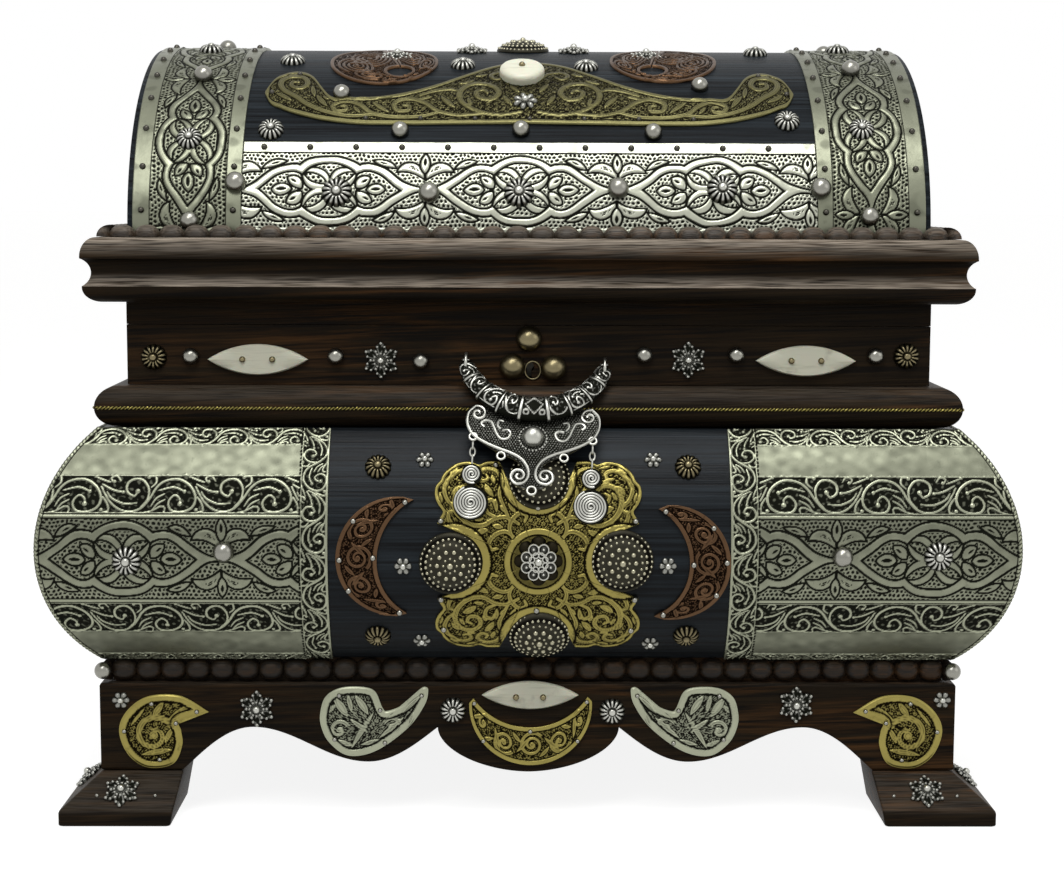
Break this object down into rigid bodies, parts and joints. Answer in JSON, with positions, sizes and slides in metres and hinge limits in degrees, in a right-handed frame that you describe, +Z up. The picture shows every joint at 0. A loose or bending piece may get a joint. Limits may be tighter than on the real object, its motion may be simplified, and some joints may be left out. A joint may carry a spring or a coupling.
{
  "type": "domed casket",
  "caption": "Domed wooden casket with swelling sides, scalloped base and feet, hinged lid, lock and hanging pendant, dressed in embossed metal.",
  "frame": {"origin": "floor level under the middle of the casket", "axes": "+X to the right as the front is seen, +Y to the back, +Z up"},
  "size_m": [0.452, 0.3293, 0.3693],
  "materials": {
    "stained_wood": "dark red stain, satin",
    "black_painted_wood": "black paint, satin",
    "white_metal": "embossed thin white metal with dark patina in the hollows",
    "old_silver": "antique silver colour",
    "brass": "embossed brass, worn",
    "copper": "embossed copper, worn",
    "bone": "polished bone",
    "iron": "blackened iron"
  },
  "bodies": {
    "case": {"apron_back": "stained_wood", "apron_front": "stained_wood", "apron_left": "stained_wood", "apron_right": "stained_wood", "base_bead_strip": "stained_wood", "belly_back": "black_painted_wood", "belly_cladding_left": "white_metal", "belly_cladding_right": "white_metal", "belly_crescent_left": "copper", "belly_crescent_right": "copper", "belly_front": "black_painted_wood", "belly_left": "black_painted_wood", "belly_plaque": "brass", "belly_right": "black_painted_wood", "bone_almond_left": "bone", "bone_almond_right": "bone", "bottom_board": "stained_wood", "foot_back_left": "stained_wood", "foot_back_right": "stained_wood", "foot_front_left": "stained_wood", "foot_front_right": "stained_wood", "hinge_case_leaf_left": "iron", "hinge_case_leaf_right": "iron", "hinge_pin_left": "iron", "hinge_pin_right": "iron", "lock_case": "iron", "neck_back": "stained_wood", "neck_front": "stained_wood", "neck_left": "stained_wood", "neck_right": "stained_wood", "pendant_staple_left": "old_silver", "pendant_staple_right": "old_silver", "waist_moulding_back": "stained_wood", "waist_moulding_front": "stained_wood", "waist_moulding_left": "stained_wood", "waist_moulding_right": "stained_wood"},
    "lid": {"cornice_back": "stained_wood", "cornice_front": "stained_wood", "cornice_left": "stained_wood", "cornice_right": "stained_wood", "dome_band_front": "white_metal", "dome_band_left": "white_metal", "dome_band_right": "white_metal", "dome_end_left": "stained_wood", "dome_end_right": "stained_wood", "dome_plaque": "brass", "dome_shell": "black_painted_wood", "hinge_lid_leaf_left": "iron", "hinge_lid_leaf_right": "iron", "lid_bead_strip": "stained_wood", "lid_frame_back": "stained_wood", "lid_frame_front": "stained_wood", "lid_frame_left": "stained_wood", "lid_frame_right": "stained_wood", "lock_strike": "iron"},
    "lock_bolt": {"lock_bolt": "brass"},
    "pendant": {"pendant_plate": "old_silver", "pendant_tube": "old_silver"},
    "charm_left": {"charm_left": "old_silver"},
    "charm_right": {"charm_right": "old_silver"}
  },
  "joints": [
    {"name": "lid_hinge", "type": "hinge", "parent": "case", "child": "lid", "pos_m": [0, 0.1279, 0.23315], "axis": [-1, 0, 0], "range_deg": [0, 125]},
    {"name": "lock_bolt_slide", "type": "slide", "parent": "case", "child": "lock_bolt", "axis": [1, 0, 0], "range_m": [0, 0.007]},
    {"name": "pendant_swing", "type": "hinge", "parent": "case", "child": "pendant", "pos_m": [0.0027, -0.1286, 0.216], "axis": [-0.9994, 0, 0.0349], "range_deg": [0, 60]},
    {"name": "charm_left_swing", "type": "hinge", "parent": "pendant", "child": "charm_left", "pos_m": [-0.02601, -0.15281, 0.18175], "axis": [-0.9994, 0, 0.0349], "range_deg": [0, 50]},
    {"name": "charm_right_swing", "type": "hinge", "parent": "pendant", "child": "charm_right", "pos_m": [0.02895, -0.15281, 0.17983], "axis": [-0.9994, 0, 0.0349], "range_deg": [0, 50]}
  ]
}
